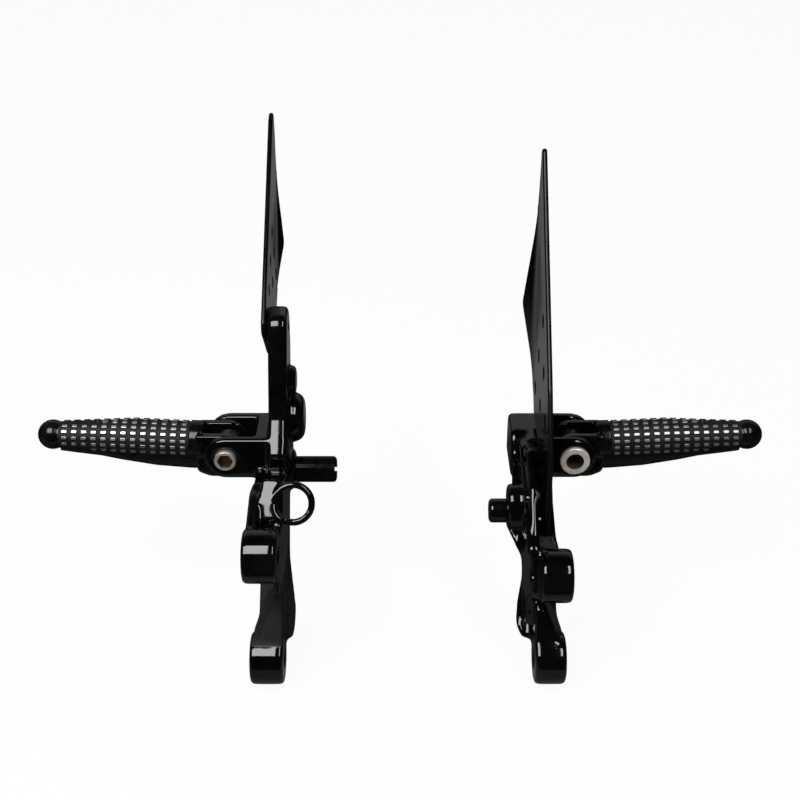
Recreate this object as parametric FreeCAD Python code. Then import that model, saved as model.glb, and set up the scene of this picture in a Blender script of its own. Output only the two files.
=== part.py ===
import FreeCAD
import Part
import math
import os
from FreeCAD import Placement, Rotation, Vector

# Pair of motorbike footpeg brackets with folding pegs and heel guards, in millimetres.
# Each side is drawn in bracket coordinates: x outward from the peg's fold axis, y rearward, z up.
# The left side is mirrored, and the origin lies in the left upper bolt hole.

# Clevis and fold axis
pivot_spread = 219.0
ear_thickness = 7.0
ear_radius = 14.0
slot_width = 24.0
slot_wall_x = -18.5
base_inner_x = -40.0
soft_edge = 1.5

# Pivot pin
pin_radius = 6.8
pin_fit = 0.05
pin_head_radius = 9.3
pin_proud = 2.5
pin_head_bore_radius = 5.6
pin_head_bore_depth = 14.0
socket_across_flats = 9.0
socket_depth = 6.0
pin_chamfer = 0.6

# Footpeg
fork_gap = 0.3
cheek_thickness = 5.5
cheek_radius = 12.5
heel_radius = 16.6
stop_gap = 0.3
stop_height = 6.0
root_wall_x = 15.5
root_wall_thickness = 4.0
collar_end_x = 24.0
collar_radius = 12.8
peg_axis_rise = 2.63
peg_tilt_deg = 2.68
knurl_start = 25.5
knurl_pitch = 6.27
knurl_columns = 13
pad_length = 3.8
groove_depth = 1.0
slot_depth = 0.9
row_pitch_deg = 18.0
row_count = 12
row_slot_width = 1.7
knurl_root_radius = 12.6
knurl_shoulder_x = 60.0
knurl_shoulder_radius = 12.8
knurl_tip_radius = 9.2
neck_radius = 8.7
ball_radius = 9.5
peg_end_x = 120.8
keel_proud = 5.0
keel_knee_x = 45.0
keel_knee_depth = 16.8
keel_end_x = 80.0
keel_end_depth = 11.0
keel_half_width = 6.5
keel_soft_edge = 3.0

# Return spring
spring_wire = 1.6
spring_inner_radius = 7.6
spring_room = 1.1
spring_half_turns = 9
spring_leg = 9.0

# Bolt lugs
lug_radius = 16.0
left_lug_length = 20.4
right_lug_length = 19.2
bolt_hole_radius = 5.25
lug_soft_edge = 1.2
left_lug_inner_x = -39.1
right_lug_inner_x = -28.0
left_upper_lug = (-101.0, -16.0)
right_upper_lug = (-98.0, -32.0)
lower_lug = (-93.0, -96.5)

# Webs and flanges
web_thickness = 5.0
left_web_inner_x = -39.1
right_web_inner_x = -33.0

# Guard arm of the left casting
arm_inner_x = -39.0
arm_outer_x = -27.0
arm_top_boss = (29.0, 70.0)
arm_rear_boss = (56.0, 60.0)
arm_top_boss_radius = 12.5
arm_rear_boss_radius = 8.5
arm_rear_inner_x = -33.0

# Guards
guard_thickness = 3.0
left_guard_outer_x = -22.5
right_guard_outer_x = -21.5
flare_deg = 17.0
left_guard_hole_radius = 4.2
right_guard_hole_radius = 4.7
guard_pad_radius = 7.0
right_screw_front = (-66.0, 2.0)
right_screw_rear = (-40.0, 13.0)

# Guard outlines as (y, z, corner radius), with the fold line and the small holes as (y, z)
left_guard_outline = [(12.5, 73, 8), (124, 176.5, 3), (134, 180, 4), (136, 160, 20), (132.5, 139, 20)]
left_guard_outline += [(129.5, 106, 30), (127, 88, 10), (99, 64.5, 14), (93, 55, 8), (66, 47, 10)]
left_guard_outline += [(46, 41, 8), (24, 62.5, 20)]
left_guard_bend = ((99.1, 65.2), (133.0, 138.9))
left_guard_holes = [(86, 112), (67.5, 99), (50, 86), (91, 95), (74, 81), (98, 77)]
right_guard_outline = [(-70, -26, 10), (-86, -8, 14), (-82, 36, 30), (-60, 71, 50), (29.5, 180, 3)]
right_guard_outline += [(38, 190, 3.5), (38.3, 160, 30), (37.7, 148, 20), (44.5, 106, 60), (49.5, 78, 8)]
right_guard_outline += [(28.4, 50.4, 20), (6, 17.5, 12), (-22, 17, 10)]
right_guard_bend = ((19.0, 39.8), (37.7, 148.8))
right_guard_holes = [(-17.4, 94.6), (-35.3, 69.2), (-54, 46.5), (-5.2, 66), (-26, 42.5), (4, 39)]

# Countersunk guard screws
screw_radius = 2.5
screw_fit = 0.1
screw_head_radius = 4.7
screw_head_height = 2.0
screw_socket_across_flats = 3.0
screw_socket_depth = 1.5
screw_length = 11.0

# Pedal and lever shafts
shaft_fit = 0.03
shaft_end_radius = 2.5
shaft_shoulder = 0.9
shoulder_chamfer = 0.5
pedal_shaft_radius = 8.4
pedal_shaft_axis = (0.0, -18.0)
pedal_shaft_end_x = -68.8
pedal_hub_radius = 13.0
pedal_hub_inner_x = -42.5
lever_shaft_radius = 7.5
lever_shaft_axis = (-40.0, -24.0)
lever_shaft_end_x = -54.5
lever_hub_radius = 12.25
lever_hub_rise = 5.5
lever_hub_inner_x = -43.5
shaft_seat_x = -30.0
end_slot_width = 2.4
end_slot_depth = 1.8
end_slot_lean_deg = 31.0

# Switch eye of the left casting
eye_centre = (-45.9, -68.6, -0.7)
eye_outer_radius = 13.4
eye_bore_radius = 9.3
eye_thickness = 6.0
eye_relief = 1.0
eye_lean_deg = 28.0
tab_lean_deg = 43.0

ear_outer_y = slot_width / 2 + ear_thickness
cheek_outer_y = slot_width / 2 - fork_gap
cheek_inner_y = cheek_outer_y - cheek_thickness
left_lug_middle_x = left_lug_inner_x + left_lug_length / 2


# Outline through (a, b, radius) corners, each rounded by its radius, put in space by place(a, b).
def rounded_face(corners, place):
    points = [Vector(a, b, 0) for a, b, radius in corners]
    arcs = []
    for i, (a, b, radius) in enumerate(corners):
        back = (points[i - 1] - points[i]).normalize()
        ahead = (points[(i + 1) % len(points)] - points[i]).normalize()
        half = back.getAngle(ahead) / 2
        middle = (back + ahead).normalize()
        reach = radius / math.tan(half)
        bulge = radius / math.sin(half) - radius
        arcs.append([points[i] + back * reach, points[i] + middle * bulge, points[i] + ahead * reach])
    edges = []
    for i, arc in enumerate(arcs):
        edges.append(Part.Arc(*[place(p.x, p.y) for p in arc]).toShape())
        start = arc[2]
        end = arcs[(i + 1) % len(arcs)][0]
        edges.append(Part.LineSegment(place(start.x, start.y), place(end.x, end.y)).toShape())
    return Part.Face(Part.Wire(edges))


def edges_at(solid, axis, value):
    return [e for e in solid.Edges if all(abs(getattr(v.Point, axis) - value) < 1e-4 for v in e.Vertexes)]


# Side outline in (y, z) drawn out between two x values, with both rims rounded if asked.
def side_prism(corners, x0, x1, rim=0):
    solid = rounded_face(corners, lambda a, b: Vector(x0, a, b)).extrude(Vector(x1 - x0, 0, 0))
    if rim:
        solid = solid.makeFillet(rim, edges_at(solid, "x", x0) + edges_at(solid, "x", x1))
    return solid


# Front outline in (x, z) drawn out between two y values.
def front_prism(corners, y0, y1, rim=0):
    solid = rounded_face(corners, lambda a, b: Vector(a, y0, b)).extrude(Vector(0, y1 - y0, 0))
    if rim:
        solid = solid.makeFillet(rim, edges_at(solid, "y", y0) + edges_at(solid, "y", y1))
    return solid


# Round bar along x at (y, z), with its rim rounded at the ends named.
def bar_x(centre, radius, x0, x1, rim0=0, rim1=0):
    solid = Part.makeCylinder(radius, x1 - x0, Vector(x0, centre[0], centre[1]), Vector(1, 0, 0))
    if rim0:
        solid = solid.makeFillet(rim0, edges_at(solid, "x", x0))
    if rim1:
        solid = solid.makeFillet(rim1, edges_at(solid, "x", x1))
    return solid


def bar_y(x, z, radius, y0, y1):
    return Part.makeCylinder(radius, y1 - y0, Vector(x, y0, z), Vector(0, 1, 0))


def joined(solids):
    return solids[0].fuse(solids[1:]).removeSplitter()


# Hexagonal prism from a start point along a direction.
def hexagon(across_flats, length, start, along):
    corner = across_flats / math.sqrt(3)
    turns = [k * math.pi / 3 for k in range(7)]
    points = [Vector(corner * math.cos(turn), corner * math.sin(turn), 0) for turn in turns]
    solid = Part.Face(Part.makePolygon(points)).extrude(Vector(0, 0, length))
    solid.Placement = Placement(start, Rotation(Vector(0, 0, 1), along))
    return solid


# Two ears and the block that joins them, bored for the pivot pin.
def clevis():
    r = ear_radius
    side = [(base_inner_x, -r, 2), (r, -r, r - 0.01), (r, r, r - 0.01), (base_inner_x, r, 2)]
    solid = front_prism(side, -ear_outer_y, ear_outer_y, soft_edge)
    slot = Part.makeBox(-slot_wall_x + 2 * r, slot_width, 4 * r, Vector(slot_wall_x, -slot_width / 2, -2 * r))
    return solid.cut(slot)


def pin_bore():
    return bar_y(0, 0, pin_radius + pin_fit, -2 * ear_outer_y, 2 * ear_outer_y)


def shaft_bore(axis, radius):
    return bar_x(axis, radius - shaft_shoulder + shaft_fit, shaft_seat_x - 40, shaft_seat_x)


def bolt_holes(lugs):
    return [bar_x(centre, bolt_hole_radius, -80, 40) for centre in lugs]


def screw_holes(places, face_x):
    return [bar_x(p, screw_radius + screw_fit, face_x - screw_length - 2, face_x + 1) for p in places]


# Plate along the rear of the casting, from the clevis down to the lower lug, cut to a front outline.
def rear_flange(front):
    side = [(6, -14, 1), (-74, -97, 1), (-78, -93, 1), (2, -10, 1)]
    return side_prism(side, -60, 0).common(front_prism(front, -120, 60))


# Neck that narrows from a lug's full length to the thin web.
def lower_neck(inner_x, outer_x, web_outer_x):
    side = [(-106, -100, 3), (-84, -108, 3), (-58, -74, 8), (-66, -52, 6), (-90, -62, 8)]
    front = [(inner_x, -112, 1), (outer_x, -112, 1), (outer_x, -90, 3), (web_outer_x, -58, 3)]
    front += [(web_outer_x, -48, 1), (inner_x, -48, 1)]
    return side_prism(side, -60, 0).common(front_prism(front, -120, 0))


# Eye facing forward, and the flat tab that carries it, which leans further back.
def switch_eye():
    tab = [(-4, -9, 2), (22, -11.5, 3), (18.5, 15, 2), (-4, 12.5, 2)]
    face = rounded_face(tab, lambda a, b: Vector(a, b, 0))
    ring = Part.makeCylinder(eye_outer_radius, eye_thickness)
    ring = ring.makeFillet(soft_edge, [e for e in ring.Edges if e.Closed])
    plate = face.extrude(Vector(0, 0, eye_thickness))
    plate.rotate(Vector(0, 0, eye_thickness / 2), Vector(1, 0, 0), eye_lean_deg - tab_lean_deg)
    return on_eye(ring.fuse(plate))


def on_eye(solid):
    lean = math.radians(eye_lean_deg)
    axis = Vector(0, -math.cos(lean), math.sin(lean))
    foot = Vector(*eye_centre) - axis * (eye_thickness / 2)
    solid.Placement = Placement(foot, Rotation(Vector(1, 0, 0), 90 - eye_lean_deg))
    return solid


# Bore of the eye, with a wider relief in the casting on both sides of it.
def eye_bore():
    bore = Part.makeCylinder(eye_bore_radius, eye_thickness)
    for z in (-eye_thickness, eye_thickness):
        bore = bore.fuse(Part.makeCylinder(eye_bore_radius + eye_relief, eye_thickness, Vector(0, 0, z)))
    return on_eye(bore)


def left_bracket():
    web_outer_x = left_web_inner_x + web_thickness
    lug_outer_x = left_lug_inner_x + left_lug_length
    guard_face_x = left_guard_outer_x - guard_thickness
    web = [(-100, -12, 6), (-78, -12, 6), (-62, 4, 6), (-44, -4, 8), (-22, -9, 4), (4, 8, 6), (4, -14, 6)]
    web += [(-76, -95, 8), (-96, -108, 8), (-104, -92, 8), (-86, -50, 24), (-110, -26, 8)]
    top = [(-14, -9, 3), (-42, -4.5, 10), (-55, 6, 3), (-62, 2, 2), (-60, -8, 4), (-14, -20, 2)]
    front = [(-66, -6, 3), (-74, -12, 4), (-92, -12, 3), (-92, -26, 3), (-66, -18, 3)]
    arm = [(-26, 6, 2), (-10, 24, 4), (2, 54, 24), (16, 82, 9), (41, 82, 9), (40, 54, 14)]
    arm += [(26, 20, 14), (18, -10, 6), (-20, -10, 4)]
    rear_arm = [(28, 78, 6), (62, 69.5, 7), (66, 54, 7), (48, 50, 6), (28, 56, 6)]
    outer_rib = [(-12, -7, 3), (-40, -4, 10), (-62, 4, 10), (-94, -5, 4), (-94, -22, 4), (-60, -14, 10)]
    outer_rib += [(-12, -18, 3)]
    flange = [(-38, 0, 1), (-21.5, 0, 1), (-21.5, -112, 1), (-34, -108, 3), (-44, -92, 9)]
    flange += [(-44.5, -82, 8), (-40, -58, 14), (-39.5, -40, 14)]
    solids = [clevis()]
    solids.append(side_prism(web, left_web_inner_x, web_outer_x))
    solids.append(side_prism(top, arm_inner_x, -20.5, soft_edge))
    solids.append(side_prism(front, left_lug_inner_x, lug_outer_x - 1, soft_edge))
    solids.append(side_prism(outer_rib, -25.0, lug_outer_x - 0.6, soft_edge))
    solids.append(side_prism(arm, arm_inner_x, arm_outer_x, 2.5))
    solids.append(side_prism(rear_arm, arm_rear_inner_x, arm_outer_x, soft_edge))
    solids.append(rear_flange(flange))
    solids.append(lower_neck(left_lug_inner_x, lug_outer_x, web_outer_x))
    for centre in (left_upper_lug, lower_lug):
        solids.append(bar_x(centre, lug_radius, left_lug_inner_x, lug_outer_x, lug_soft_edge, lug_soft_edge))
    solids.append(bar_x(arm_top_boss, arm_top_boss_radius, arm_inner_x + 1, guard_face_x, 2.0, soft_edge))
    rear_boss_x = arm_rear_inner_x + 0.5
    solids.append(bar_x(arm_rear_boss, arm_rear_boss_radius, rear_boss_x, guard_face_x, 1.0, soft_edge))
    solids.append(bar_x((10, 15), 16.0, -48.8, -38.0, 7.0))
    solids.append(bar_x((14, 40), 9.0, -44.0, -38.0, 2.5))
    solids.append(bar_x(pedal_shaft_axis, pedal_hub_radius, pedal_hub_inner_x, -22.0, soft_edge))
    solids.append(switch_eye())
    cuts = [pin_bore(), eye_bore(), shaft_bore(pedal_shaft_axis, pedal_shaft_radius)]
    cuts += bolt_holes((left_upper_lug, lower_lug))
    cuts += screw_holes((arm_top_boss, arm_rear_boss), guard_face_x)
    return joined(solids).cut(cuts)


def right_bracket():
    web_outer_x = right_web_inner_x + web_thickness
    lug_outer_x = right_lug_inner_x + right_lug_length
    guard_face_x = right_guard_outer_x - guard_thickness
    web = [(-100, -20, 8), (-68, 10, 8), (-40, 21, 8), (-22, 13, 6), (2, 8, 6), (2, -14, 6), (-64, -82, 6)]
    web += [(-86, -82, 8), (-82, -56, 16), (-108, -42, 8)]
    rib = [(-12, 13, 3), (-24, 13, 6), (-60, 4, 10), (-98, -14, 3), (-98, -22, 3), (-60, -4, 10), (-12, 6, 2)]
    neck = [(-104, -27, 3), (-84, -28, 4), (-62, -27, 8), (-40, -13, 6), (-22, -12, 3), (-22, -28, 6)]
    neck += [(-60, -40, 10), (-92, -47, 6)]
    plan = [(right_web_inner_x + 1, -110, 1), (lug_outer_x, -110, 1), (lug_outer_x, -89, 3), (-13.8, -77, 4)]
    plan += [(-15, -40, 8), (slot_wall_x - 1, -12, 1), (right_web_inner_x + 1, -12, 1)]
    neck_plan = rounded_face(plan, lambda a, b: Vector(a, b, -60)).extrude(Vector(0, 0, 70))
    flange = [(-37.5, 0, 1), (-11.5, 0, 1), (-11.5, -112, 1), (-26, -104, 3), (-37.5, -89, 7)]
    flange += [(-36.5, -80, 8), (-31, -61, 8), (-43, -42, 3), (-38, -31, 4)]
    slope = [(-5, 15, 0.5), (-21, 15, 0.5), (-21, 1, 0.5)]
    solids = [clevis().cut(side_prism(slope, base_inner_x - 1, -30))]
    solids.append(side_prism(web, right_web_inner_x, web_outer_x))
    solids.append(side_prism(rib, -35.5, -27.5, soft_edge))
    solids.append(side_prism(neck, -60, 0).common(neck_plan))
    solids.append(rear_flange(flange))
    solids.append(lower_neck(right_lug_inner_x, lug_outer_x, web_outer_x + web_thickness))
    for centre in (right_upper_lug, lower_lug):
        solids.append(bar_x(centre, lug_radius, right_lug_inner_x, lug_outer_x, lug_soft_edge, lug_soft_edge))
    for centre in (right_screw_front, right_screw_rear):
        solids.append(bar_x(centre, guard_pad_radius, right_web_inner_x + 1, guard_face_x, 0, 1.0))
    y, z = lever_shaft_axis
    for hub_z in (z, z + lever_hub_rise):
        solids.append(bar_x((y, hub_z), lever_hub_radius, lever_hub_inner_x, -24.0, soft_edge))
    cuts = [pin_bore(), shaft_bore(lever_shaft_axis, lever_shaft_radius)]
    cuts += bolt_holes((right_upper_lug, lower_lug))
    cuts += screw_holes((right_screw_front, right_screw_rear), guard_face_x)
    return joined(solids).cut(cuts)


# Pierced sheet, folded inboard behind the bend line that runs through two (y, z) points.
def heel_guard(outline, outer_x, bend, holes, hole_radius, screws):
    sheet = side_prism(outline, outer_x - guard_thickness, outer_x)
    cutters = [bar_x(p, hole_radius, outer_x - 10, outer_x + 10) for p in holes]
    cutters += [bar_x(p, screw_radius + screw_fit, outer_x - 10, outer_x - 1) for p in screws]
    cutters += [screw_cone(p, outer_x) for p in screws]
    sheet = sheet.cut(cutters)
    low = Vector(outer_x, bend[0][0], bend[0][1])
    along = (Vector(outer_x, bend[1][0], bend[1][1]) - low).normalize()
    behind = Vector(0, along.z, -along.y)
    corner = low - along * 300 - Vector(40, 0, 0)
    half = Part.Face(Part.makePolygon([corner, corner + along * 600, corner + along * 600 + behind * 200,
                                       corner + behind * 200, corner])).extrude(Vector(80, 0, 0))
    lip = sheet.common(half)
    lip.rotate(low, along, flare_deg)
    return sheet.cut(half).fuse(lip).removeSplitter()


# Cone of a countersunk head that ends flush with the guard's outer face.
def screw_cone(p, outer_x):
    foot = Vector(outer_x - screw_head_height, p[0], p[1])
    return Part.makeCone(screw_radius, screw_head_radius, screw_head_height, foot, Vector(1, 0, 0))


def guard_screws(places, outer_x):
    solids = []
    for p in places:
        shank = bar_x(p, screw_radius, outer_x - screw_length, outer_x - screw_head_height)
        foot = Vector(outer_x - screw_socket_depth, p[0], p[1])
        socket = hexagon(screw_socket_across_flats, 2 * screw_socket_depth, foot, Vector(1, 0, 0))
        solids.append(screw_cone(p, outer_x).fuse(shank).removeSplitter().cut(socket))
    return Part.makeCompound(solids)


# Turned pin with its flanged, hollow head at the end that head_side points to along y.
def pivot_pin(head_side):
    head_y = ear_outer_y + pin_proud
    shaft = bar_y(0, 0, pin_radius, -head_y, head_y)
    shaft = shaft.makeChamfer(pin_chamfer, edges_at(shaft, "y", -head_y))
    head = bar_y(0, 0, pin_head_radius, ear_outer_y, head_y)
    head = head.makeChamfer(pin_chamfer, edges_at(head, "y", head_y))
    bore = bar_y(0, 0, pin_head_bore_radius, head_y - pin_head_bore_depth, head_y + 1)
    socket = hexagon(socket_across_flats, socket_depth + 1, Vector(0, -head_y - 1, 0), Vector(0, 1, 0))
    solid = shaft.fuse(head).cut([bore, socket])
    if head_side < 0:
        solid = solid.mirror(Vector(0, 0, 0), Vector(0, 1, 0))
    return solid


# Journal with a round end that shoulders against its hub, and a thinner seat inside the hub.
def pivot_shaft(axis, radius, end_x, hub_x):
    bar = bar_x(axis, radius, end_x, hub_x, shaft_end_radius)
    bar = bar.makeChamfer(shoulder_chamfer, edges_at(bar, "x", hub_x))
    return bar.fuse(bar_x(axis, radius - shaft_shoulder, hub_x - 1, shaft_seat_x)).removeSplitter()


# Slot across the free end of the pedal's shaft.
def end_slot():
    y, z = pedal_shaft_axis
    corner = Vector(pedal_shaft_end_x - 1, y - 2 * pedal_shaft_radius, z - end_slot_width / 2)
    slot = Part.makeBox(end_slot_depth + 1, 4 * pedal_shaft_radius, end_slot_width, corner)
    slot.rotate(Vector(0, y, z), Vector(1, 0, 0), -end_slot_lean_deg)
    return slot


# Radius of the knurl's crests at a distance along the peg.
def crest_radius(along):
    if along < knurl_shoulder_x:
        share = (along - knurl_start) / (knurl_shoulder_x - knurl_start)
        return knurl_root_radius + share * (knurl_shoulder_radius - knurl_root_radius)
    share = (along - knurl_shoulder_x) / (knurl_start + knurl_columns * knurl_pitch - knurl_shoulder_x)
    return knurl_shoulder_radius + share * (knurl_tip_radius - knurl_shoulder_radius)


# Collar, ringed knurl, neck and ball end, turned about the peg's own line.
def peg_turning():
    knurl_end = knurl_start + knurl_columns * knurl_pitch
    points = [Vector(root_wall_x, 0, 0), Vector(root_wall_x, 0, collar_radius)]
    points.append(Vector(collar_end_x, 0, collar_radius))
    points.append(Vector(collar_end_x + 0.6, 0, knurl_root_radius - groove_depth))
    for k in range(knurl_columns):
        start = knurl_start + k * knurl_pitch
        end = start + pad_length
        points.append(Vector(start, 0, crest_radius(start) - groove_depth))
        points.append(Vector(start + 0.4, 0, crest_radius(start)))
        points.append(Vector(end - 0.4, 0, crest_radius(end)))
        points.append(Vector(end, 0, crest_radius(end) - groove_depth))
    points.append(Vector(knurl_end, 0, neck_radius))
    ball_x = peg_end_x - ball_radius
    lead = math.sqrt(ball_radius ** 2 - neck_radius ** 2)
    points.append(Vector(ball_x - lead, 0, neck_radius))
    edges = [Part.LineSegment(a, b).toShape() for a, b in zip(points, points[1:])]
    crown = Vector(ball_x + ball_radius * math.cos(0.7), 0, ball_radius * math.sin(0.7))
    edges.append(Part.Arc(points[-1], crown, Vector(peg_end_x, 0, 0)).toShape())
    edges.append(Part.LineSegment(Vector(peg_end_x, 0, 0), points[0]).toShape())
    return Part.Face(Part.Wire(edges)).revolve(Vector(0, 0, 0), Vector(1, 0, 0), 360)


# Lengthwise slots that part the rings into rows of pads, leaving the underside plain.
def row_slots():
    stations = [knurl_start - 0.4, knurl_shoulder_x]
    stations.append(knurl_start + knurl_columns * knurl_pitch - 2)
    floor = [Vector(s, -row_slot_width / 2, crest_radius(s) - slot_depth) for s in stations]
    top = [Vector(s, -row_slot_width / 2, crest_radius(s) + 3) for s in reversed(stations)]
    cutter = Part.Face(Part.makePolygon(floor + top + floor[:1])).extrude(Vector(0, row_slot_width, 0))
    slots = []
    for k in range(row_count + 1):
        slot = cutter.copy()
        slot.rotate(Vector(0, 0, 0), Vector(1, 0, 0), (k - row_count / 2) * row_pitch_deg)
        slots.append(slot)
    return slots


# Rib under the peg that runs out along the knurl.
def keel():
    low = -collar_radius - keel_proud
    side = [(root_wall_x, -5), (root_wall_x, low + 1.5), (root_wall_x + 2, low)]
    side += [(collar_end_x, low), (keel_knee_x, -keel_knee_depth), (keel_end_x, -keel_end_depth)]
    side += [(keel_end_x, -5)]
    wire = Part.makePolygon([Vector(x, -keel_half_width, z) for x, z in side + side[:1]])
    solid = Part.Face(wire).extrude(Vector(0, 2 * keel_half_width, 0))
    lengthwise = [e for e in solid.Edges if e.BoundBox.YLength < 1e-6 and e.Length > 15]
    return solid.makeFillet(keel_soft_edge, [e for e in lengthwise if e.BoundBox.ZMax < -9])


# Forked root: two cheeks bored for the pin, with a stop that meets the clevis wall.
def peg_fork():
    stop_x = slot_wall_x + stop_gap
    r = cheek_radius
    root_x = root_wall_x + root_wall_thickness
    stop_z = -r + 2
    stop_top_z = stop_z + stop_height
    cheek = [(-r, r, r - 0.5), (root_x, r, 2), (root_x, -r - 0.5, 4), (11.5, -heel_radius, 6)]
    cheek += [(2, -heel_radius, 4), (-r, -r + 1, 2), (stop_x, stop_z, 1), (stop_x, stop_top_z, 1)]
    cheek += [(-r, stop_top_z, 1)]
    cheeks = []
    for y in (-cheek_outer_y, cheek_inner_y):
        cheeks.append(front_prism(cheek, y, y + cheek_thickness))
    corner = Vector(root_wall_x, -cheek_inner_y, -heel_radius + 3)
    wall = Part.makeBox(root_wall_thickness + 0.5, 2 * cheek_inner_y, r + heel_radius - 4, corner)
    return joined(cheeks + [wall])


def footpeg():
    grip = peg_turning().cut(row_slots()).fuse(keel())
    grip.Placement = Placement(Vector(0, 0, peg_axis_rise), Rotation(Vector(0, 1, 0), -peg_tilt_deg))
    solid = joined([grip, peg_fork()])
    return solid.cut(bar_y(0, 0, pin_radius + pin_fit, -slot_width, slot_width))


# Wire coil round the pin, in tilted half rings, with one leg to the clevis wall and one to the peg.
def return_spring():
    mean = spring_inner_radius + spring_wire / 2
    length = 2 * (cheek_inner_y - spring_room) - spring_wire
    climb = length / spring_half_turns
    tilt = math.degrees(math.atan2(climb / 2, mean))
    ring_radius = mean / math.cos(math.radians(tilt))
    solids = []
    for k in range(spring_half_turns):
        half = Part.makeTorus(ring_radius, spring_wire / 2, Vector(0, 0, 0), Vector(0, 0, 1), 0, 360, 180)
        half.rotate(Vector(0, 0, 0), Vector(0, 1, 0), tilt)
        half.rotate(Vector(0, 0, 0), Vector(0, 0, 1), 180 * k)
        half.translate(Vector(0, 0, climb * (k + 0.5)))
        solids.append(half)
    end_x = mean * (-1) ** spring_half_turns
    solids.append(Part.makeCylinder(spring_wire / 2, spring_leg, Vector(mean, 0, 0), Vector(0, -1, 0)))
    solids.append(Part.makeCylinder(spring_wire / 2, spring_leg, Vector(end_x, 0, length), Vector(0, -1, 0)))
    solid = joined(solids)
    solid.translate(Vector(0, 0, -length / 2))
    solid.rotate(Vector(0, 0, 0), Vector(1, 0, 0), 90)
    return solid


origin = Vector(-pivot_spread / 2 - left_lug_middle_x, left_upper_lug[0], left_upper_lug[1])


def on_left(solid):
    placed = solid.mirror(Vector(0, 0, 0), Vector(1, 0, 0))
    placed.translate(Vector(-pivot_spread / 2, 0, 0) - origin)
    return placed


def on_right(solid):
    placed = solid.copy()
    placed.translate(Vector(pivot_spread / 2, 0, 0) - origin)
    return placed


left_screws = (arm_top_boss, arm_rear_boss)
right_screws = (right_screw_front, right_screw_rear)
peg = footpeg()
spring = return_spring()
pedal_shaft = pivot_shaft(pedal_shaft_axis, pedal_shaft_radius, pedal_shaft_end_x, pedal_hub_inner_x)
pedal_shaft = pedal_shaft.cut(end_slot())
lever_shaft = pivot_shaft(lever_shaft_axis, lever_shaft_radius, lever_shaft_end_x, lever_hub_inner_x)
left_guard = heel_guard(left_guard_outline, left_guard_outer_x, left_guard_bend, left_guard_holes,
                        left_guard_hole_radius, left_screws)
right_guard = heel_guard(right_guard_outline, right_guard_outer_x, right_guard_bend, right_guard_holes,
                         right_guard_hole_radius, right_screws)
nodes = {
    "left_bracket": on_left(left_bracket()),
    "left_heel_guard": on_left(left_guard),
    "left_guard_screws": on_left(guard_screws(left_screws, left_guard_outer_x)),
    "left_footpeg": on_left(peg),
    "left_pivot_pin": on_left(pivot_pin(1)),
    "left_return_spring": on_left(spring),
    "brake_pedal_pivot": on_left(pedal_shaft),
    "right_bracket": on_right(right_bracket()),
    "right_heel_guard": on_right(right_guard),
    "right_guard_screws": on_right(guard_screws(right_screws, right_guard_outer_x)),
    "right_footpeg": on_right(peg),
    "right_pivot_pin": on_right(pivot_pin(-1)),
    "right_return_spring": on_right(spring),
    "gear_lever_pivot": on_right(lever_shaft),
}

os.makedirs("parts", exist_ok=True)
for name, shape in nodes.items():
    shape.exportStep("parts/" + name + ".step")
    print(name, shape.isValid(), len(shape.Solids), round(shape.Volume))
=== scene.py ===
import math

import bmesh
import bpy
import numpy as np
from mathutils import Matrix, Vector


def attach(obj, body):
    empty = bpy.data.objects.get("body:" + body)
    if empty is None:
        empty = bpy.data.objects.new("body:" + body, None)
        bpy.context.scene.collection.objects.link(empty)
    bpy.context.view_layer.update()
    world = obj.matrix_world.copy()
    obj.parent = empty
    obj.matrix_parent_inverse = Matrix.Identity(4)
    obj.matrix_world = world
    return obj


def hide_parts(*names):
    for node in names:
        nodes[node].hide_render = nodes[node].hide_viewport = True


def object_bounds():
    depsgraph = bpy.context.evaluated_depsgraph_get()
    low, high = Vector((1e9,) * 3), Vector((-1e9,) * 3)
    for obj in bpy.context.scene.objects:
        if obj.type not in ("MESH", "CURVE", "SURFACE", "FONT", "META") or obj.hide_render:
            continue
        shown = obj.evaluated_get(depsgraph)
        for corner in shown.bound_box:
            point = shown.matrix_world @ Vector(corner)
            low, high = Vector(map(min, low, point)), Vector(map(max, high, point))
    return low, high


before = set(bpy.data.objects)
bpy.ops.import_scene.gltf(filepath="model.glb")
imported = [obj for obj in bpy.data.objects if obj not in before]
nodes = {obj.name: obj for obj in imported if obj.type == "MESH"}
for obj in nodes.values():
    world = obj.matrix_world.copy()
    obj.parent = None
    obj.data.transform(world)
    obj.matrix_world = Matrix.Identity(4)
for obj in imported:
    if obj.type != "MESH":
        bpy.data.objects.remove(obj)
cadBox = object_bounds()
mm = 0.001
print("frame loaded with", len(nodes), "nodes")


# one output socket; arithmetic on it adds Math nodes to its finish
class Flow:
    def __init__(self, finish, socket):
        self.finish = finish
        self.socket = socket

    def maths(self, operation, first, second=0.0):
        return self.finish.node("Math", {"operation": operation}, {0: first, 1: second})

    def __add__(self, other):
        return self.maths("ADD", self, other)

    def __sub__(self, other):
        return self.maths("SUBTRACT", self, other)

    def __rsub__(self, other):
        return self.maths("SUBTRACT", other, self)

    def __mul__(self, other):
        return self.maths("MULTIPLY", self, other)

    def __abs__(self):
        return self.maths("ABSOLUTE", self)

    __radd__ = __add__
    __rmul__ = __mul__

    def larger(self, other):
        return self.maths("MAXIMUM", self, other)

    def smooth(self, low, high):
        return self.finish.node("MapRange", {"interpolation_type": "SMOOTHSTEP"},
                                {"Value": self, "From Min": low, "From Max": high})


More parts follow.
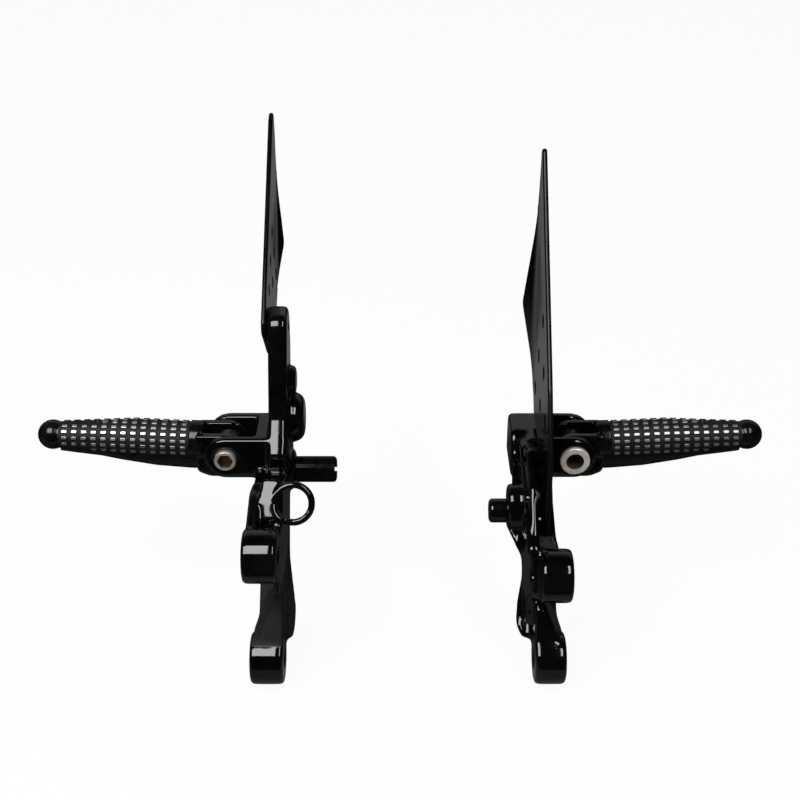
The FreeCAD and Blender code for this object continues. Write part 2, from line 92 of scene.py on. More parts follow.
# a node tree under construction; a material's tree also has a Principled shader to feed
class Finish:
    def __init__(self, tree):
        self.tree = tree

    def node(self, kind, settings=None, inputs=None, out=0):
        made = self.tree.nodes.new("ShaderNode" + kind)
        for key, value in (settings or {}).items():
            setattr(made, key, value)
        for key, value in (inputs or {}).items():
            self.plug(made.inputs[key], value)
        return Flow(self, made.outputs[out])

    def plug(self, socket, value):
        if isinstance(value, Flow):
            self.tree.links.new(value.socket, socket)
        else:
            socket.default_value = value

    def feed(self, **inputs):
        for key, value in inputs.items():
            self.plug(self.shader.inputs[key.replace("_", " ")], value)

    def place(self):
        return self.node("TexCoord", out="Object")

    def noise(self, place, scale, detail=2.0, rough=0.5):
        return self.node("TexNoise", None,
                         {"Vector": place, "Scale": scale, "Detail": detail, "Roughness": rough})

    # sockets 6 and 7 of a Mix node are its two colours, and output 2 their mix
    def mix(self, share, first, second):
        return self.node("Mix", {"data_type": "RGBA"}, {0: share, 6: first, 7: second}, 2)

    def bump(self, height, strength, distance):
        return self.node("Bump", None, {"Height": height, "Strength": strength, "Distance": distance})

    def vector(self, operation, first, second=(0.0, 0.0, 0.0), out="Vector"):
        return self.node("VectorMath", {"operation": operation}, {0: first, 1: second}, out)

    def parts(self, vector):
        made = self.tree.nodes.new("ShaderNodeSeparateXYZ")
        self.plug(made.inputs[0], vector)
        return [Flow(self, made.outputs[k]) for k in range(3)]

    def rays(self):
        path = self.tree.nodes.new("ShaderNodeLightPath")
        kinds = ("Is Camera Ray", "Is Glossy Ray", "Is Transmission Ray")
        return [Flow(self, path.outputs[kind]) for kind in kinds]


def newFinish(name, fixed):
    material = bpy.data.materials.new(name)
    material.use_nodes = True
    finish = Finish(material.node_tree)
    finish.material = material
    finish.shader = finish.tree.nodes["Principled BSDF"]
    for socket, value in fixed.items():
        finish.shader.inputs[socket].default_value = value
    return finish


# a level of grey, with red raised and blue lowered by the warm share
def grey(level, warm=0.0):
    return (level * (1 + warm), level, level * (1 - warm), 1.0)


# gloss paint on the castings and forks
castPaint = {"index": 1.58, "dark": 0.0012, "light": 0.0030, "cloudScale": 38.0, "cloudGrit": 0.6,
             "peelScale": 380.0, "peel": 0.03, "peelDepth": 0.0006, "gloss": 0.05, "dull": 0.10,
             "dullFrom": (0.45, 0.75), "speckScale": 1900.0, "speckFrom": (0.66, 0.74), "speckRough": 0.04}

# gloss paint on sheet: finer and flatter than on the castings
sheetPaint = {"index": 1.34, "dark": 0.0020, "light": 0.0042, "cloudScale": 26.0, "cloudGrit": 0.55,
              "peelScale": 700.0, "peel": 0.02, "peelDepth": 0.0005, "gloss": 0.12, "dull": 0.2,
              "dullFrom": (0.4, 0.75), "speckScale": 2300.0, "speckFrom": (0.65, 0.74), "speckRough": 0.06}
paintTone = {"from": (0.35, 0.7), "cool": -0.03}

# the matt part of the castings' paint, in metres from the origin
mattZone = {"side": (0.07, 0.09), "top": (-0.04, -0.03), "rear": (0.012, 0.02), "neckY": (-0.001, 0.001),
            "neckZ": (-0.067, -0.0655), "rough": 0.75}


# share of matt paint, low on the left: the larger of behind the lower lug and on that lug's neck
def mattShare(finish, place):
    across, back, up = finish.parts(place)
    below = (1 - across.smooth(*mattZone["side"])) * (1 - up.smooth(*mattZone["top"]))
    neck = back.smooth(*mattZone["neckY"]) * up.smooth(*mattZone["neckZ"])
    return below * back.smooth(*mattZone["rear"]).larger(neck)


# orange peel as bumps; slow noise moves the tone from dark to light and the roughness from gloss to
# dull, and fast noise adds rough specks
def glossFinish(name, look, matted):
    finish = newFinish(name, {"IOR": look["index"]})
    place = finish.place()
    cloud = finish.noise(place, look["cloudScale"], detail=3.0, rough=look["cloudGrit"])
    peel = finish.noise(place, look["peelScale"], detail=1.0)
    speck = finish.noise(place, look["speckScale"], rough=0.7).smooth(*look["speckFrom"])
    colour = finish.mix(cloud.smooth(*paintTone["from"]), grey(look["dark"]),
                        grey(look["light"], paintTone["cool"]))
    rough = cloud.smooth(*look["dullFrom"]) * (look["dull"] - look["gloss"]) + look["gloss"]
    rough = rough + speck * look["speckRough"]
    if matted:
        rough = rough + mattShare(finish, place) * mattZone["rough"]
    finish.feed(Base_Color=colour, Roughness=rough,
                Normal=finish.bump(peel, look["peel"], look["peelDepth"]))
    return finish.material


# black peg with bare machined pad tops (padTop 1) and matt grooves (padTop -1)
pegPaint = {"index": 1.45, "dark": 0.0018, "light": 0.0045, "toneFrom": (0.3, 0.7), "bare": 0.66,
            "bareDark": 0.75, "bareLight": 1.1, "bareWarm": 0.01, "bareFrom": (0.42, 0.62), "ragged": 0.4,
            "mattFrom": (0.2, 0.8), "grainScale": 1500.0, "cloudScale": 150.0,
            "lineScale": (60.0, 2600.0, 2600.0), "lineFrom": (0.3, 0.75), "gloss": 0.12, "cloudRough": 0.1,
            "bareRough": 0.2, "lineRough": 0.12, "mattRough": 0.45, "grainBump": 0.4, "bump": 0.08,
            "bumpDepth": 0.0002}


# bare where padTop with a ragged edge of grain is high, black elsewhere, and matt where it is negative
def pegFinish():
    look = pegPaint
    finish = newFinish("pegPaint", {"IOR": look["index"]})
    place = finish.place()
    top = finish.node("Attribute", {"attribute_name": "padTop"}, None, "Fac")
    grain = finish.noise(place, look["grainScale"], detail=3.0, rough=0.65)
    cloud = finish.noise(place, look["cloudScale"])
    stretched = finish.node("Mapping", None, {"Vector": place, "Scale": look["lineScale"]})
    lines = finish.noise(stretched, 1.0, rough=0.6)
    bare = (top + (grain - 0.5) * look["ragged"]).smooth(*look["bareFrom"])
    matt = (0.0 - top).smooth(*look["mattFrom"])
    black = finish.mix(cloud.smooth(*look["toneFrom"]), grey(look["dark"]), grey(look["light"]))
    metal = finish.mix(lines.smooth(*look["lineFrom"]), grey(look["bare"] * look["bareDark"]),
                       grey(look["bare"] * look["bareLight"], look["bareWarm"]))
    bareRough = bare * (look["bareRough"] + look["lineRough"] * lines)
    height = grain * (1 - bare) * look["grainBump"] + lines * bare
    finish.feed(Base_Color=finish.mix(bare, black, metal), Metallic=bare,
                Roughness=look["gloss"] + cloud * look["cloudRough"] + bareRough + matt * look["mattRough"],
                Normal=finish.bump(height, look["bump"], look["bumpDepth"]))
    return finish.material


# radius from a turned part's axis, distance along it, and rings: noise over the sum of the two
def turnedRings(finish, place, centre, axis, scale):
    shifted = finish.vector("SUBTRACT", place, centre)
    crosswise = tuple(0.0 if k == axis else 1.0 for k in range(3))
    radius = finish.vector("LENGTH", finish.vector("MULTIPLY", shifted, crosswise), out="Value")
    along = finish.parts(shifted)[axis]
    rings = finish.node("TexNoise", {"noise_dimensions": "1D"},
                        {"W": radius + along, "Scale": scale, "Detail": 2.0})
    return radius, along, rings


# turned and plated steel with fine rings round the fold axis, brown inside its hollow ends
pinSteel = {"metallic": 0.5, "index": 1.8, "axis": 1, "rings": 2400.0, "warm": 0.06, "stainScale": 260.0,
            "stainFrom": (0.35, 0.75), "stainLevel": 0.72, "stainWarm": 1.5,
            "brown": (0.10, 0.052, 0.024, 1.0), "depth": (0.0002, 0.0012), "boreEdge": (-0.0002, 0.0004),
            "gloss": 0.3, "ringRough": 0.14, "stainRough": 0.08, "bump": 0.12, "bumpDepth": 0.0001}


# brown where a point lies both below the end face and inside the bore, stained plate elsewhere
def pinFinish(name, centre, plateAndShade, reach, bore):
    look = pinSteel
    finish = newFinish(name, {"Metallic": look["metallic"], "IOR": look["index"]})
    place = finish.place()
    radius, along, rings = turnedRings(finish, place, centre, look["axis"], look["rings"])
    stain = finish.noise(place, look["stainScale"], detail=3.0, rough=0.6)
    # the plate level holds painted shade and light: the pins are alike, but the left one's plate is set
    # darker than the right one's
    plate = finish.mix(stain.smooth(*look["stainFrom"]), grey(plateAndShade, look["warm"]),
                       grey(plateAndShade * look["stainLevel"], look["warm"] * look["stainWarm"]))
    buried = (reach - abs(along)).smooth(*look["depth"])
    inner, outer = look["boreEdge"]
    inside = buried * (1 - radius.smooth(bore + inner, bore + outer))
    finish.feed(Base_Color=finish.mix(inside, plate, look["brown"]),
                Roughness=look["gloss"] + rings * look["ringRough"] + stain * look["stainRough"],
                Normal=finish.bump(rings, look["bump"], look["bumpDepth"]))
    return finish.material


# blacked steel of the shafts and screws, turned round an x axis
blackSteel = {"axis": 0, "dark": 0.0014, "light": 0.0040, "warm": 0.02, "rings": 1500.0, "stainScale": 210.0,
              "stainFrom": (0.3, 0.75), "gloss": 0.05, "ringRough": 0.05, "stainRough": 0.04, "bump": 0.08,
              "bumpDepth": 0.0001}


# stains from dark to light; rings and stains add roughness
def blackFinish(name, centre, index):
    look = blackSteel
    finish = newFinish(name, {"IOR": index})
    place = finish.place()
    _, _, rings = turnedRings(finish, place, centre, look["axis"], look["rings"])
    stain = finish.noise(place, look["stainScale"], detail=3.0, rough=0.6)
    colour = finish.mix(stain.smooth(*look["stainFrom"]), grey(look["dark"]),
                        grey(look["light"], look["warm"]))
    finish.feed(Base_Color=colour,
                Roughness=look["gloss"] + rings * look["ringRough"] + stain * look["stainRough"],
                Normal=finish.bump(rings, look["bump"], look["bumpDepth"]))
    return finish.material


# drawn wire, blacked, with faint draw marks and oil
wire = {"bare": 0.03, "oiled": 0.012, "warm": 0.05, "stainScale": 420.0, "stainFrom": (0.3, 0.75),
        "gloss": 0.28, "stainRough": 0.18, "bump": 0.06, "bumpDepth": 0.0001}


# stains from bare to oiled, rougher and higher where they are stronger
def wireFinish():
    finish = newFinish("springWire", {"Metallic": 1.0})
    stain = finish.noise(finish.place(), wire["stainScale"], detail=3.0, rough=0.6)
    colour = finish.mix(stain.smooth(*wire["stainFrom"]), grey(wire["bare"]),
                        grey(wire["oiled"], wire["warm"]))
    finish.feed(Base_Color=colour, Roughness=wire["gloss"] + stain * wire["stainRough"],
                Normal=finish.bump(stain, wire["bump"], wire["bumpDepth"]))
    return finish.material


paint = {"cast": glossFinish("castPaint", castPaint, matted=True),
         "sheet": glossFinish("sheetPaint", sheetPaint, matted=False),
         "peg": pegFinish(), "wire": wireFinish()}
print("finishes made")


def newPiece(name, mesh, material, body, slotName, *replaced):
    piece = bpy.data.objects.new(name, mesh)
    bpy.context.scene.collection.objects.link(piece)
    mesh.materials.clear()
    mesh.materials.append(material)
    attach(piece, body)
    if replaced:
        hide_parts(*replaced)
    return piece


# distances, in metres, within which points count as one and as lying on a cutting plane
weld = 2e-6
planeSlack = 1e-7


# a copy of a node's mesh with its loose triangles merged
def mergedCopy(nodeName):
    work = bmesh.new()
    work.from_mesh(nodes[nodeName].data)
    bmesh.ops.remove_doubles(work, verts=work.verts, dist=weld)
    return work


def meshFrom(work, name):
    mesh = bpy.data.meshes.new(name)
    work.to_mesh(mesh)
    work.free()
    return mesh


# cuts a mesh along a plane, and with clear drops what lies on the side of the normal
def sliced(work, point, normal, clear=False):
    return bmesh.ops.bisect_plane(work, geom=work.verts[:] + work.edges[:] + work.faces[:], dist=planeSlack,
                                  plane_co=point, plane_no=normal, clear_outer=clear)


def points(mesh):
    flat = np.empty(len(mesh.vertices) * 3, np.float32)
    mesh.vertices.foreach_get("co", flat)
    return flat.reshape(-1, 3).astype(float)


def movePoints(mesh, place):
    mesh.vertices.foreach_set("co", place.astype(np.float32).ravel())
    mesh.update()


def smoothFaces(mesh):
    mesh.polygons.foreach_set("use_smooth", np.ones(len(mesh.polygons), bool))
    mesh.update()


softStep = 0.6  # share of the way that a point moves in each round


# voxel copy of a mesh, each point then moved part of the way to the mean of its neighbours, a few
# times, and never further than reach from where the voxels put it, which leaves cast fillets
def softened(mesh, voxel, rounds, reach):
    holder = bpy.data.objects.new("softening", mesh)
    bpy.context.scene.collection.objects.link(holder)
    remesh = holder.modifiers.new("voxels", "REMESH")
    remesh.mode = "VOXEL"
    remesh.voxel_size = voxel
    graph = bpy.context.evaluated_depsgraph_get()
    result = bpy.data.meshes.new_from_object(holder.evaluated_get(graph))
    bpy.data.objects.remove(holder)
    start = points(result)
    total = len(start)
    ends = np.empty(len(result.edges) * 2, np.int32)
    result.edges.foreach_get("vertices", ends)
    first, second = ends.reshape(-1, 2).T
    count = np.bincount(first, minlength=total) + np.bincount(second, minlength=total)
    place = start.copy()
    for _ in range(rounds):
        summed = np.stack([np.bincount(first, place[second, k], total)
                           + np.bincount(second, place[first, k], total) for k in range(3)], 1)
        place += softStep * (summed / count[:, None] - place)
        shift = place - start
        far = np.linalg.norm(shift, axis=1, keepdims=True)
        place = start + shift * np.minimum(1.0, reach / np.maximum(far, 1e-12))
    movePoints(result, place)
    smoothFaces(result)
    return result


# grid of points as quads, joined round in its second direction, with a fan at both ends
def closedTube(name, grid, layerName, values):
    rows, columns = grid.shape[:2]
    index = np.arange(rows * columns).reshape(rows, columns)
    ahead = np.roll(index, -1, 1)
    quads = np.stack([index[:-1], ahead[:-1], ahead[1:], index[1:]], -1).reshape(-1, 4)
    centres = np.stack([grid[0].mean(0), grid[-1].mean(0)])
    hub = np.full(columns, rows * columns)
    fans = np.concatenate([np.stack([hub, ahead[0], index[0]], -1),
                           np.stack([hub + 1, index[-1], ahead[-1]], -1)])
    mesh = bpy.data.meshes.new(name)
    places = np.concatenate([grid.reshape(-1, 3), centres])
    mesh.from_pydata(places.tolist(), [], quads.tolist() + fans.tolist())
    smoothFaces(mesh)
    layer = mesh.attributes.new(layerName, "FLOAT", "POINT")
    layer.data.foreach_set("value", np.append(values.ravel(), [0.0, 0.0]).astype(np.float32))
    work = bmesh.new()
    work.from_mesh(mesh)
    bmesh.ops.recalc_face_normals(work, faces=work.faces)
    work.to_mesh(mesh)
    work.free()
    mesh.update()
    return mesh


# the castings: voxel size and reach in metres
casting = {"voxel": 0.00085,
           "left": {"rounds": 13, "reach": 0.0007}, "right": {"rounds": 20, "reach": 0.0010}}
for side in ("left", "right"):
    mesh = meshFrom(mergedCopy(side + "_bracket"), side + "CastingRaw")
    mesh = softened(mesh, casting["voxel"], casting[side]["rounds"], casting[side]["reach"])
    newPiece(side + "Casting", mesh, paint["cast"], "brackets", "black_casting", side + "_bracket")
    print(side, "casting", len(mesh.polygons), "faces")


# the heel guards, in millimetres and degrees: outer face, side of the bike, and the fold line as (y, z)
guard = {"rim": 1.45, "rimSteps": 6, "rimAngle": 40.0, "rimProfile": 0.5, "flare": 17.0, "roll": 16.0,
         "strips": 14, "thick": 3.0, "level": 0.25, "merge": 0.1, "crease": 1e-3, "flatAngle": 1.0,
         "wallSlope": 0.5}
guardSide = {
    "left": {"outerX": -6.4, "inboard": 1.0, "low": (200.1, 81.2), "high": (234.0, 154.9)},
    "right": {"outerX": 168.6, "inboard": -1.0, "low": (120.0, 55.8), "high": (138.7, 164.8)},
}


# axes of the fold: along its line, and away from the flat sheet
def foldAxes(sheet):
    low = np.array(sheet["low"])
    along = np.array(sheet["high"]) - low
    along /= np.linalg.norm(along)
    return low, along, np.array([along[1], -along[0]])


# a point as (distance past the fold, distance along it, depth below the outer face)
def toFold(place, sheet):
    low, along, past = foldAxes(sheet)
    flat = place[:, 1:] / mm - low
    return flat @ past, flat @ along, (place[:, 0] / mm - sheet["outerX"]) * sheet["inboard"]


# the way back from those three distances to a point in metres
def fromFold(gone, run, depth, sheet):
    low, along, past = foldAxes(sheet)
    flat = low + run[:, None] * along + gone[:, None] * past
    return np.column_stack([sheet["outerX"] + sheet["inboard"] * depth, flat]) * mm


# points past the plane that halves the fold are turned back by the flare, those on it go to the line,
# and points near either face of the sheet go onto it
def unfolded(place, sheet):
    gone, run, depth = toFold(place, sheet)
    turn = math.radians(guard["flare"])
    beyond = gone * math.cos(turn / 2) + depth * math.sin(turn / 2)
    back = gone * math.cos(turn) + depth * math.sin(turn)
    raised = depth * math.cos(turn) - gone * math.sin(turn)
    lip = beyond > guard["crease"]
    crease = np.abs(beyond) <= guard["crease"]
    depth = np.where(lip, raised, depth)
    for face in (0.0, guard["thick"]):
        depth = np.where(np.abs(depth - face) < guard["level"], face, depth)
    return fromFold(np.where(crease, 0.0, np.where(lip, back, gone)), run, depth, sheet)


# edges where the sheet's faces meet its walls, as the outline's and the holes': each wall is gathered
# face by face, and the outline's has the largest area
def sheetRims(work):
    walls = {f for f in work.faces if abs(f.normal.x) < guard["wallSlope"]}
    groups = []
    while walls:
        group, queue = set(), [walls.pop()]
        while queue:
            face = queue.pop()
            group.add(face)
            near = {f for e in face.edges for f in e.link_faces} & walls
            walls -= near
            queue.extend(near)
        groups.append(group)
    outline = max(groups, key=lambda group: sum(f.calc_area() for f in group))
    steep = [e for e in work.edges if e.calc_face_angle(0.0) > math.radians(guard["rimAngle"])]
    outer = [e for e in steep if len(set(e.link_faces) & outline) == 1]
    return outer, [e for e in steep if not set(e.link_faces) & outline]


# the flat sheet follows an arc of the roll's length and then goes straight on at the flare
def rolled(place, sheet):
    gone, run, depth = toFold(place, sheet)
    turn = math.radians(guard["flare"])
    half = guard["roll"] / 2
    swing = np.clip((gone + half) / guard["roll"], 0, 1) * turn
    bend = guard["roll"] / turn
    onward = np.maximum(gone - half, 0)
    middle = np.where(gone < -half, gone, bend * np.sin(swing) - half + onward * math.cos(turn))
    fall = bend * (1 - np.cos(swing)) + onward * math.sin(turn)
    return fromFold(middle - depth * np.sin(swing), run, fall + depth * np.cos(swing), sheet)


# a guard is unfolded, its outline's rims are rounded, and it is cut into strips and rolled
for side, sheet in guardSide.items():
    mesh = meshFrom(mergedCopy(side + "_heel_guard"), side + "Sheet")
    movePoints(mesh, unfolded(points(mesh), sheet))
    work = bmesh.new()
    work.from_mesh(mesh)
    bmesh.ops.remove_doubles(work, verts=work.verts, dist=guard["merge"] * mm)
    bmesh.ops.dissolve_limit(work, angle_limit=math.radians(guard["flatAngle"]), verts=work.verts,
                             edges=work.edges)
    rims, holeRims = sheetRims(work)
    for edge in holeRims:
        edge.smooth = False
    bmesh.ops.bevel(work, geom=rims, offset=guard["rim"] * mm, segments=guard["rimSteps"],
                    profile=guard["rimProfile"], affect="EDGES", clamp_overlap=False)
    bmesh.ops.triangulate(work, faces=work.faces)
    low, _, past = foldAxes(sheet)
    for step in np.linspace(-0.5, 0.5, guard["strips"]):
        at = (low + past * step * guard["roll"]) * mm
        sliced(work, (0.0, *at), (0.0, *past))
    mesh = meshFrom(work, side + "HeelGuard")
    movePoints(mesh, rolled(points(mesh), sheet))
    smoothFaces(mesh)
    piece = newPiece(side + "HeelGuard", mesh, paint["sheet"], "brackets", "black_sheet",
                     side + "_heel_guard")
    piece.modifiers.new("flatFaces", "WEIGHTED_NORMAL").keep_sharp = True
    print(side, "guard", len(mesh.polygons), "faces,", len(rims), "rim edges")


# the pegs, in millimetres and degrees: a turned grip with rows of pads, on a softened fork;
# the fork's voxel and reach are in metres
peg = {"rise": 2.63, "tilt": 2.68, "rootX": 15.5, "rootStep": 1.0,
       "collarX": 24.0, "collarR": 12.75, "collarSoft": 0.9,
       "knurlX": 25.5, "pitch": 6.27, "columns": 13, "padMiddle": 1.9, "padLength": 3.6, "depth": 0.7,
       "rootR": 12.6, "shoulderX": 60.0, "shoulderR": 12.8, "tipR": 9.2,
       "neckR": 8.7, "neckLead": 0.5, "ballR": 9.45, "endX": 120.75,
       "rowLine": 48.0, "rowStep": 4.25, "padWidth": 2.1, "topRow": 4.0, "lastRow": 116.5, "corner": 5.0,
       "skirt": (135.6, 136.6), "skirtX": 66.0,
       "keelX": (24.0, 45.0, 67.0, 80.0, 94.0, 106.0), "keelLow": (17.75, 16.75, 13.6, 11.1, 9.7, 8.4),
       "keelHalf": 7.2, "keelRound": 8.0, "keelTurn": 1.2,
       "forkEndX": 19.6, "forkVoxel": 0.0006, "forkRounds": 8, "forkReach": 0.0004}
peg["knurlEnd"] = peg["knurlX"] + peg["columns"] * peg["pitch"]
peg["ballX"] = peg["endX"] - peg["ballR"]
peg["ballLead"] = peg["ballX"] - math.sqrt(peg["ballR"] ** 2 - peg["neckR"] ** 2)
pivotX = {"left": -28.9, "right": 190.1}
pivotY, pivotZ = 101.0, 16.0

# a pad's slope and bare top, as shares of the pad: its foot, the width of its slope, the edge of its
# bare top and that edge's width; padless marks the places without a pad
pad = {"foot": 1.16, "slope": 0.22, "topEdge": 0.96, "topFade": 0.06, "grooveBelow": 0.95, "padless": 9.0}

# where the grip's mesh has its stations: shares of half a pad, shares of a groove, and counts
station = {"edges": (0.84, 0.95, 1.0, 1.06, 1.16), "flat": 0.75, "flats": 5, "groove": (0.35, 0.65),
           "collars": 8, "rootGap": 0.02, "roundFrom": 0.2, "roundTo": 1.5, "rounds": 7,
           "collarFoot": (0.05, 0.6), "necks": 6, "balls": 26, "poleTurn": 0.03,
           "padTurns": 272, "keelTurns": 44, "skirtLead": 2.0, "knurlLead": 0.3, "knurlTail": 0.4}


# stations along the peg: close together at the pad edges, the collar's round edge and the ball
def gripStations():
    half = peg["padLength"] / 2
    edge = np.array(station["edges"]) * half
    flat = np.linspace(-station["flat"], station["flat"], station["flats"]) * half
    groove = np.array(station["groove"]) * (peg["pitch"] - peg["padLength"]) + half
    onePad = np.concatenate([-edge[::-1], flat, edge, groove]) + peg["padMiddle"]
    knurl = peg["knurlX"] + peg["pitch"] * np.arange(peg["columns"])[:, None] + onePad[None, :]
    roundX = peg["collarX"] - peg["collarSoft"]
    arc = np.sin(np.linspace(station["roundFrom"], station["roundTo"], station["rounds"]))
    collar = np.concatenate([[peg["rootX"]],
                             np.linspace(peg["rootX"] + station["rootGap"], roundX, station["collars"]),
                             roundX + peg["collarSoft"] * arc,
                             [peg["collarX"] + step for step in station["collarFoot"]]])
    leadTurn = math.acos((peg["ballLead"] - peg["ballX"]) / peg["ballR"])
    swing = np.linspace(leadTurn, station["poleTurn"], station["balls"])[1:]
    neck = np.linspace(peg["knurlEnd"], peg["ballLead"], station["necks"])
    return np.concatenate([collar, knurl.ravel(), neck, peg["ballX"] + peg["ballR"] * np.cos(swing)])


# crest radius rises a little to the shoulder and falls to the tip
def crest(along):
    return np.interp(along, [peg["knurlX"], peg["shoulderX"], peg["knurlEnd"]],
                     [peg["rootR"], peg["shoulderR"], peg["tipR"]])


# smooth step: three squares less two cubes of the share
def eased(share):
    share = np.clip(share, 0, 1)
    return share * share * (3 - 2 * share)


# radius of the plain turning: collar with a round edge, groove floor, neck and ball
def turnedRadius(t):
    over = np.clip((t - peg["collarX"] + peg["collarSoft"]) / peg["collarSoft"], 0, 1)
    collar = peg["collarR"] - peg["collarSoft"] * (1 - np.sqrt(1 - over ** 2))
    collar = np.where(t <= peg["rootX"], peg["collarR"] - peg["rootStep"], collar)
    floor = crest(t) - peg["depth"]
    radius = np.where(t < peg["collarX"], collar, floor)
    radius = np.where(t >= peg["knurlEnd"] - peg["neckLead"], np.minimum(floor, peg["neckR"]), radius)
    ball = np.sqrt(np.clip(peg["ballR"] ** 2 - (t - peg["ballX"]) ** 2, 0, None))
    return np.where(t > peg["ballLead"] - 1e-9, ball, radius)


# distance of a point from its pad's middle, as a share of the pad: rows keep one arc spacing from
# a line on each flank, columns one pitch, and the sum of high powers rounds the pad's corners
def padSpread(t, turn):
    column = np.round((t - peg["knurlX"] - peg["padMiddle"]) / peg["pitch"]).clip(0, peg["columns"] - 1)
    offX = (t - peg["knurlX"] - peg["padMiddle"] - column * peg["pitch"]) / (peg["padLength"] / 2)
    perRow = crest(t) / peg["rowStep"]
    row = np.radians(np.abs(turn) - peg["rowLine"]) * perRow
    offA = (row - np.round(row)) * peg["rowStep"] / (peg["padWidth"] / 2)
    rowAngle = peg["rowLine"] + np.degrees(np.round(row) / perRow)
    shown = (rowAngle > peg["topRow"]) & (rowAngle < peg["lastRow"])
    spread = (np.abs(offX) ** peg["corner"] + np.abs(offA) ** peg["corner"]) ** (1 / peg["corner"])
    return np.where(shown, spread, pad["padless"])


# the keel is a flat-bottomed wedge with round edges whose polar radius wins where it is the larger
def keelRadius(t, a):
    down = np.abs(np.pi - a)
    flat = np.interp(t, peg["keelX"], peg["keelLow"]) / np.maximum(np.cos(down), 1e-3)
    wall = peg["keelHalf"] / np.maximum(np.sin(down), 1e-3)
    keel = (flat ** -peg["keelRound"] + wall ** -peg["keelRound"]) ** (-1 / peg["keelRound"])
    return np.where((down < peg["keelTurn"]) & (t < peg["keelX"][-1]) & (t > peg["rootX"]), keel, 0)


# the grip in polar form: radius over distance along the peg and angle from the top
def gripGrid():
    reach = peg["skirt"][1] + station["skirtLead"]
    angle = np.radians(np.concatenate([np.linspace(-reach, reach, station["padTurns"]),
                                       np.linspace(reach, 360 - reach, station["keelTurns"])[1:-1]]))
    t, a = np.meshgrid(gripStations(), angle, indexing="ij")
    turn = np.degrees(np.where(a > np.pi, a - 2 * np.pi, a))
    spread = padSpread(t, turn)
    raised = eased((pad["foot"] - spread) / pad["slope"])
    skirt = eased((np.abs(turn) - peg["skirt"][0]) / (peg["skirt"][1] - peg["skirt"][0]))
    lastPad = peg["knurlEnd"] - peg["pitch"] + peg["padLength"]
    onKnurl = (t >= peg["knurlX"] - station["knurlLead"]) & (t <= lastPad + station["knurlTail"])
    skirt = np.where(t < peg["skirtX"], skirt, 0)
    radius = turnedRadius(t) + peg["depth"] * np.where(onKnurl, np.maximum(raised, skirt), 0)
    keel = keelRadius(t, a)
    bare = np.clip((pad["topEdge"] - spread) / pad["topFade"], 0, 1)
    top = np.where((keel < radius) & onKnurl, bare, 0.0)
    between = (t > peg["collarX"]) & (t < peg["knurlEnd"]) & (np.abs(turn) < peg["skirt"][0])
    top = np.where(between & (raised < pad["grooveBelow"]), -1.0, top)
    radius = np.maximum(radius, keel)
    tilt = math.radians(peg["tilt"])
    y, z = radius * np.sin(a), radius * np.cos(a)
    x = t * math.cos(tilt) - z * math.sin(tilt)
    z = t * math.sin(tilt) + z * math.cos(tilt) + peg["rise"]
    return np.stack([x, y, z], -1), top


grip, padTop = gripGrid()
for side, sign in (("left", -1.0), ("right", 1.0)):
    place = (grip * (sign, 1.0, 1.0) + (pivotX[side], pivotY, pivotZ)) * mm
    mesh = closedTube(side + "Grip", place, "padTop", padTop)
    newPiece(side + "PegGrip", mesh, paint["peg"], side + "_peg", "peg_alloy", side + "_footpeg")
    work = mergedCopy(side + "_footpeg")
    cutX = (pivotX[side] + sign * peg["forkEndX"]) * mm
    cut = sliced(work, (cutX, 0, 0), (sign, 0, 0), True)
    rim = [e for e in cut["geom_cut"] if isinstance(e, bmesh.types.BMEdge)]
    bmesh.ops.holes_fill(work, edges=rim, sides=0)
    fork = softened(meshFrom(work, side + "ForkRaw"), peg["forkVoxel"], peg["forkRounds"], peg["forkReach"])
    newPiece(side + "PegFork", fork, paint["cast"], side + "_peg", "peg_alloy")
    print(side, "peg", len(mesh.polygons), "and", len(fork.polygons), "faces")


def refinish(nodeName, material):
    made = nodes[nodeName].data.materials
    made.clear()
    made.append(material)


# pins, springs, shafts and screws keep their CAD shapes; places and sizes in metres
# the two pins are the same part; plateAndShade is each one's plate level, darker on the left as painted
# shade and lighter on the right as painted light
pin = {"reach": 0.0215, "left": {"plateAndShade": 0.36, "bore": 0.0053}, "right": {"plateAndShade": 0.95, "bore": 0.0057}}
shafts = {"brake_pedal_pivot": {"centre": (0.0, 0.101, -0.002), "index": 1.2},
          "gear_lever_pivot": {"centre": (0.0, 0.061, -0.008), "index": 1.7},
          "left_guard_screws": {"centre": (0.0, 0.13, 0.086), "index": 1.45},
          "right_guard_screws": {"centre": (0.0, 0.035, 0.018), "index": 1.45}}
for side in ("left", "right"):
    centre = (pivotX[side] * mm, pivotY * mm, pivotZ * mm)
    steel = pinFinish(side + "PinSteel", centre, pin[side]["plateAndShade"], pin["reach"], pin[side]["bore"])
    refinish(side + "_pivot_pin", steel)
    refinish(side + "_return_spring", paint["wire"])
for name, shaft in shafts.items():
    refinish(name, blackFinish(name + "Steel", shaft["centre"], shaft["index"]))
print("pins, shafts and springs finished")


# studio: white to the camera; to glossy rays a dim pool of floor and a dim wall behind the object,
# a fainter floor beneath it and a strip at its front, all in metres, and dark everywhere else
studio = {"floorZ": cadBox[0][2] - 0.0005, "floorSize": 4.0, "floorGrey": 0.85, "floorRough": 0.9,
          "ambient": 0.35, "shadowShare": 0.06,
          "pool": 0.17, "poolX": 0.08, "poolFade": (0.12, 0.26), "poolY": (0.30, 0.38),
          "near": 0.025, "nearY": (-0.02, 0.05),
          "strip": 0.14, "stripFrom": (-0.09, -0.05), "stripTo": (0.0, 0.05),
          "wall": 0.3, "wallY": (0.3, 0.85), "wallLow": (0.05, 0.35), "wallHigh": (0.55, 0.9)}


